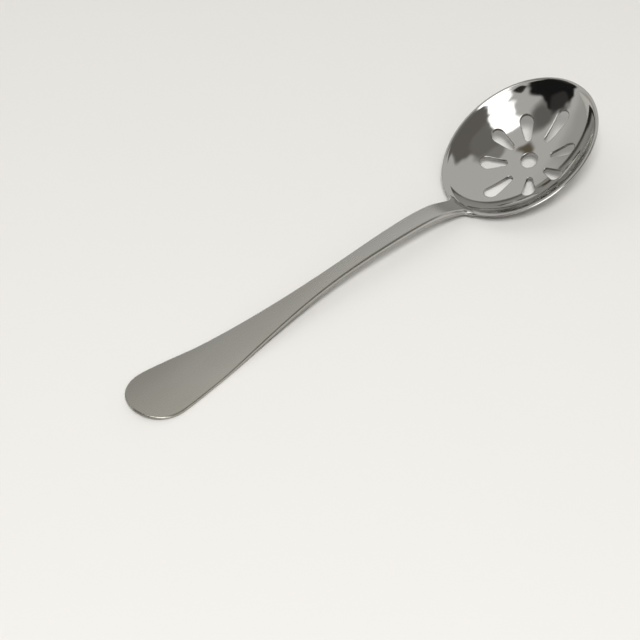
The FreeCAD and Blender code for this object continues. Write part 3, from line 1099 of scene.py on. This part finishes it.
    def apart(self, flat: np.ndarray, rim_flat: np.ndarray) -> np.ndarray:
        """Which places are kept, so that none crowds a rim or an earlier place.

        Args:
            flat: The places, in order of their weight.
            rim_flat: The places on the rims, which all stay.

        Returns:
            The numbers of the kept places.
        """
        gap = self.sampling.gap
        taken: dict[tuple[int, int], list[tuple[float, float]]] = {}
        kept = []
        for number, (u, v) in enumerate(np.concatenate([rim_flat, flat]).tolist()):
            home = (math.floor(u / gap), math.floor(v / gap))
            close = False
            if number >= len(rim_flat):
                for row in range(home[0] - 1, home[0] + 2):
                    for column in range(home[1] - 1, home[1] + 2):
                        for a, b in taken.get((row, column), ()):
                            close = close or (a - u) ** 2 + (b - v) ** 2 < gap**2
            if not close:
                taken.setdefault(home, []).append((u, v))
                if number >= len(rim_flat):
                    kept.append(number - len(rim_flat))
        return np.array(kept)

    def make(self, steel: bpy.types.Material) -> bpy.types.Object:
        """Makes and dresses the spoon.

        Args:
            steel: The spoon's finish.

        Returns:
            The finished piece.
        """
        upper, under = self.edge(self.outline())
        upper_rims, under_rims = [upper], [under]
        for loop in Flower(self.sizes).loops(steel):
            top, bottom = self.lip(even_loop(loop, self.sampling.pitch))
            upper_rims.append(top)
            under_rims.append(bottom)
        self.face(Face.UPPER, upper_rims)
        self.face(Face.UNDER, under_rims)
        piece = self.mesh.build("spoon_skin")
        piece.data.materials.append(steel)
        log.info("%s: %d points, %d faces", piece.name, self.mesh.count, len(self.mesh.faces))
        return piece


@dataclass(frozen=True)
class Grain:
    """Noise that is drawn out by different amounts along the three axes."""

    per_metre: Triple
    octaves: float

    def lay(self, tree: Tree, place: Socket) -> Wire:
        """Lays the noise over a piece.

        Args:
            tree: The material's node tree.
            place: The socket with the place on the piece.

        Returns:
            The noise, from 0 to 1.
        """
        drawn = add_node(tree, "ShaderNodeMapping", {"Vector": place, "Scale": self.per_metre})
        inputs = {"Vector": drawn.outputs["Vector"], "Scale": 1.0, "Detail": self.octaves}
        return Wire(tree, add_node(tree, "ShaderNodeTexNoise", inputs).outputs["Fac"])


@dataclass(frozen=True)
class Steel:
    """Stainless steel: mirror polished in the bowl, softly brushed along the handle."""

    cool: Triple = (0.54, 0.532, 0.51)
    warm: Triple = (0.36, 0.347, 0.296)
    polish_start: float = 0.036  # where along the spoon the polish starts, in metres
    polish_end: float = 0.050
    bowl_roughness: float = 0.07
    handle_roughness: float = 0.27
    brushing: Grain = Grain((60.0, 4200.0, 4200.0), 3.0)
    smears: Grain = Grain((90.0, 130.0, 130.0), 4.0)
    clouds: Grain = Grain((14.0, 40.0, 40.0), 2.0)
    brushing_spread: float = 0.06  # how far each one varies the roughness
    handle_smears: float = 0.10
    bowl_smears: float = 0.05
    clouds_spread: float = 0.9  # how far each one takes the colour from warm to cool
    clouds_start: float = 0.1
    # the colour runs from warm and darker at the tip to cool towards the bowl, by this much per
    # metre
    warm_to_cool_per_metre: float = 3.6
    bowl_cool_shift: float = 0.5
    tip: float = 0.115
    # painted shade: flanks, lips and underside are darkened to this share
    downward_shade: float = 0.6
    shade_ends_above: float = 0.35  # the upward share of the normal where the painted shade on flanks, lips and underside ends
    side_shade_per_metre: float = 17.0  # painted shade: how much the handle darkens from one side to the other, per metre
    relief_depth: float = 0.00001
    relief_strength: float = 0.15
    relief_in_bowl: float = 0.08  # the share of the brushing's relief that the bowl has

    def make(self) -> bpy.types.Material:
        """Builds the material, with brushing and smears, and painted shade on the edges, on the
        underside and from side to side across the handle.

        Returns:
            The material.
        """
        material = bpy.data.materials.new("polished_and_brushed_steel")
        material.use_nodes = True
        tree = material.node_tree
        shader = tree.nodes["Principled BSDF"]
        shader.inputs["Metallic"].default_value = 1.0
        coords = tree.nodes.new("ShaderNodeTexCoord")
        place = coords.outputs["Object"]
        split = add_node(tree, "ShaderNodeSeparateXYZ", {0: place})
        along, across = Wire(tree, split.outputs["X"]), Wire(tree, split.outputs["Y"])
        polish = smooth_step(tree, along, self.polish_start, self.polish_end)

        brushing, smears = self.brushing.lay(tree, place), self.smears.lay(tree, place)
        least = self.handle_roughness - (self.brushing_spread + self.handle_smears) / 2.0
        brushed = brushing * self.brushing_spread + smears * self.handle_smears + least
        mirror = smears * self.bowl_smears + (self.bowl_roughness - self.bowl_smears / 2.0)
        rough = brushed + (mirror - brushed) * polish
        tree.links.new(rough.socket, shader.inputs["Roughness"])

        clouds = self.clouds.lay(tree, place) * self.clouds_spread - self.clouds_start
        from_tip = along * self.warm_to_cool_per_metre + self.warm_to_cool_per_metre * self.tip
        # random clouds of tone, warm and darker at the tip and cooler towards the bowl
        metal_tone = mixed(tree, clouds + from_tip + polish * self.bowl_cool_shift, self.warm, self.cool)
        # painted shade: the handle darkens from one side to the other, fading out in the bowl
        side_shade = across * (polish * self.side_shade_per_metre - self.side_shade_per_metre) + 1.0
        colour = self.painted_facing_shade(tree, coords.outputs["Normal"], metal_tone, side_shade)
        tree.links.new(colour, shader.inputs["Base Color"])

        relief = {
            "Height": brushing * (polish * (self.relief_in_bowl - 1.0) + 1.0),
            "Distance": self.relief_depth,
            "Strength": self.relief_strength,
        }
        bump = add_node(tree, "ShaderNodeBump", relief)
        tree.links.new(bump.outputs["Normal"], shader.inputs["Normal"])
        return material

    def painted_facing_shade(self, tree: Tree, normal: Socket, colour: Socket, side_shade: Wire) -> Socket:
        """Paints shade on the metal where its faces turn sideways or down: flanks, lips and
        underside.

        Args:
            tree: The material's node tree.
            normal: The socket with the piece's normal.
            colour: The socket with the colour of the metal.
            side_shade: Painted shade across the handle, which darkens it towards one side.

        Returns:
            The socket with the darkened colour.
        """
        facing = add_node(tree, "ShaderNodeSeparateXYZ", {0: normal})
        # painted shade: faces that turn sideways or down are darkened
        facing_shade = smooth_step(tree, facing.outputs["Z"], 0.0, self.shade_ends_above, self.downward_shade)
        inputs = {0: colour, "Scale": facing_shade * side_shade}
        scaled = add_node(tree, "ShaderNodeVectorMath", inputs, operation="SCALE")
        return scaled.outputs["Vector"]


@dataclass(frozen=True)
class TableTop:
    """The plain pale table, with a faint unevenness so that it isn't flat paint."""

    colour: Triple = (0.78, 0.765, 0.735)
    darkest: float = 0.985
    noise_scale: float = 9.0
    roughness: float = 0.6
    specular: float = 0.2
    half: float = 1.6
    level: float = -0.00005

    def make(self) -> bpy.types.Object:
        """Returns:
            The table top.
        """
        material = bpy.data.materials.new("pale_table")
        material.use_nodes = True
        tree = material.node_tree
        shader = tree.nodes["Principled BSDF"]
        shader.inputs["Roughness"].default_value = self.roughness
        shader.inputs["Specular IOR Level"].default_value = self.specular
        coords = tree.nodes.new("ShaderNodeTexCoord")
        inputs = {"Vector": coords.outputs["Object"], "Scale": self.noise_scale}
        noise = add_node(tree, "ShaderNodeTexNoise", inputs)
        low = tuple(channel * self.darkest for channel in self.colour)
        tint = mixed(tree, noise.outputs["Fac"], low, self.colour)
        tree.links.new(tint, shader.inputs["Base Color"])
        mesh = bpy.data.meshes.new("table_top")
        signs = ((-1.0, -1.0), (1.0, -1.0), (1.0, 1.0), (-1.0, 1.0))
        corners = [(x * self.half, y * self.half, self.level) for x, y in signs]
        mesh.from_pydata(corners, [], [(0, 1, 2, 3)])
        mesh.materials.append(material)
        table = bpy.data.objects.new("table_top", mesh)
        bpy.context.scene.collection.objects.link(table)
        log.info("%s: laid under the spoon", table.name)
        return table


@dataclass(frozen=True)
class Patch:
    """A round patch of the studio's surround, as seen from the spoon, in degrees.

    It is whole up to full degrees from its middle, and gone at faded degrees.
    """

    bearing: float
    height: float
    full: float
    faded: float
    colour: Triple

    def over(self, tree: Tree, look: Socket, colour: Triple | Socket) -> Socket:
        """Fades the patch in over what lies behind it.

        Args:
            tree: The world's node tree.
            look: The socket with the direction.
            colour: What lies behind it.

        Returns:
            The socket with the colour of both.
        """
        bearing, height = math.radians(self.bearing), math.radians(self.height)
        level = math.cos(height)
        centre = (math.cos(bearing) * level, math.sin(bearing) * level, math.sin(height))
        inputs = {0: look, 1: centre}
        towards = add_node(tree, "ShaderNodeVectorMath", inputs, operation="DOT_PRODUCT")
        reach = (math.cos(math.radians(angle)) for angle in (self.faded, self.full))
        amount = smooth_step(tree, towards.outputs["Value"], *reach)
        return mixed(tree, amount, colour, self.colour)


@dataclass(frozen=True)
class Surround:
    """The studio round the spoon: a pale grey room with a window and dark screens.

    Cameras see the plain grey of the room. The metal mirrors that grey, the window and the
    screens.
    """

    base: Triple = (0.667, 0.661, 0.643)
    unevenness: float = 0.16
    uneven_scale: float = 3.6
    uneven_detail: float = 0.6
    strength_on_table: float = 0.6
    patches: tuple[Patch, ...] = (
        Patch(105.0, 4.0, 15.0, 40.0, (0.50, 0.50, 0.475)),
        Patch(28.0, 8.0, 8.0, 16.0, (0.25, 0.243, 0.228)),
        Patch(300.0, 78.0, 11.0, 17.0, (0.31, 0.30, 0.282)),
        Patch(292.0, 42.0, 25.0, 32.0, (0.176, 0.167, 0.154)),
        Patch(276.0, 64.0, 13.0, 22.0, (0.222, 0.214, 0.199)),
        Patch(170.0, 46.0, 7.0, 22.0, (0.18, 0.176, 0.165)),
        Patch(122.0, 68.0, 3.0, 9.0, (0.156, 0.132, 0.093)),
        Patch(182.0, 2.0, 31.0, 36.0, (0.014, 0.014, 0.014)),
        Patch(163.0, 24.0, 10.0, 16.0, (0.05, 0.048, 0.045)),
        Patch(226.0, 60.0, 7.0, 12.0, (2.6, 2.6, 2.6)),
        Patch(237.0, 46.0, 11.0, 16.0, (3.0, 3.0, 3.0)),
        Patch(248.0, 27.0, 9.0, 14.0, (3.0, 3.0, 3.0)),
        Patch(226.0, 11.0, 10.0, 13.0, (0.035, 0.033, 0.029)),
    )

    def make(self) -> None:
        """Builds the world, each patch faded in over the ones before it."""
        world = bpy.data.worlds.new("surround")
        world.use_nodes = True
        tree = world.node_tree
        look = self.uneven(tree, tree.nodes.new("ShaderNodeTexCoord").outputs["Generated"])
        colour = self.base
        for patch in self.patches:
            colour = patch.over(tree, look, colour)
        rays = tree.nodes.new("ShaderNodeLightPath").outputs
        background = tree.nodes["Background"]
        shown = mixed(tree, rays["Is Camera Ray"], colour, self.base)
        tree.links.new(shown, background.inputs["Color"])
        seen = Wire(tree, rays["Is Camera Ray"])
        for kind in ("Is Glossy Ray", "Is Transmission Ray"):
            seen = seen.through("MAXIMUM", Wire(tree, rays[kind]))
        strength = seen * (1.0 - self.strength_on_table) + self.strength_on_table
        tree.links.new(strength.socket, background.inputs["Strength"])
        bpy.context.scene.world = world

    def uneven(self, tree: Tree, look: Socket) -> Socket:
        """Bends the direction a little, so that no patch has a drawn edge.

        Args:
            tree: The world's node tree.
            look: The socket with the direction.

        Returns:
            The socket with the bent direction.
        """
        inputs = {"Vector": look, "Scale": self.uneven_scale, "Detail": self.uneven_detail}
        noise = add_node(tree, "ShaderNodeTexNoise", inputs)
        steps = (
            ("SUBTRACT", {1: (0.5, 0.5, 0.5)}),
            ("MULTIPLY_ADD", {1: (self.unevenness * 2.0,) * 3, 2: look}),
            ("NORMALIZE", {}),
        )
        bent = noise.outputs["Color"]
        for operation, inputs in steps:
            inputs = {0: bent, **inputs}
            bent = add_node(tree, "ShaderNodeVectorMath", inputs, operation=operation).outputs[0]
        return bent


@dataclass(frozen=True)
class Lamp:
    """A square soft lamp that looks at the spoon and isn't mirrored in it, in metres and watts."""

    name: str
    place: Triple
    side: float
    power: float

    def hang(self) -> None:
        """Hangs the lamp. The steel mirrors the surround alone."""
        light = bpy.data.lights.new(self.name, "AREA")
        light.size = self.side
        light.energy = self.power
        holder = bpy.data.objects.new(self.name, light)
        holder.location = self.place
        holder.rotation_euler = (-Vector(self.place)).to_track_quat("-Z", "Y").to_euler()
        holder.visible_glossy = False
        bpy.context.scene.collection.objects.link(holder)


@dataclass(frozen=True)
class Studio:
    """The camera, and the lamps that light the table and cast the shadows."""

    eye: Triple = (-0.32479, -0.38491, 0.47586)
    ahead: Triple = (0.43391, 0.55838, -0.70707)
    right: Triple = (0.76816, -0.63937, -0.03376)
    lens: float = 98.64
    sensor: float = 36.0
    clip_start: float = 0.01
    lamps: tuple[Lamp, ...] = (
        Lamp("window_light", (-0.75, -0.84, 1.53), 0.45, 26.5),
        Lamp("ceiling_light", (-0.52, 0.82, 1.95), 2.70, 7.6),
    )

    def camera(self) -> None:
        """Puts the camera where the photograph was taken from."""
        camera = bpy.data.cameras.new("camera")
        camera.lens = self.lens
        camera.sensor_width = self.sensor
        camera.clip_start = self.clip_start
        ahead = Vector(self.ahead).normalized()
        right = Vector(self.right)
        right = (right - ahead * right.dot(ahead)).normalized()
        turned = Matrix((right, right.cross(ahead), -ahead)).transposed().to_4x4()
        holder = bpy.data.objects.new("camera", camera)
        holder.matrix_world = Matrix.Translation(self.eye) @ turned
        bpy.context.scene.collection.objects.link(holder)
        bpy.context.scene.camera = holder

    def make(self) -> None:
        """Sets up the camera, the lamps and the surround."""
        self.camera()
        for lamp in self.lamps:
            lamp.hang()
        Surround().make()
        bpy.context.scene.view_settings.view_transform = "Standard"
        log.info("studio: camera, %d lamps and surround", len(self.lamps))


def main() -> None:
    """Builds the spoon and its table, hangs the spoon on its body and hides the CAD node."""
    logging.basicConfig(level=logging.INFO, format="%(name)s: %(message)s")
    Studio().make()
    TableTop().make()
    spoon = ServingSpoon(SpoonSizes()).make(Steel().make())
    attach(spoon, BODY)
    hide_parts(NODE)
    log.info("boxes written")


if __name__ == "__main__":
    main()
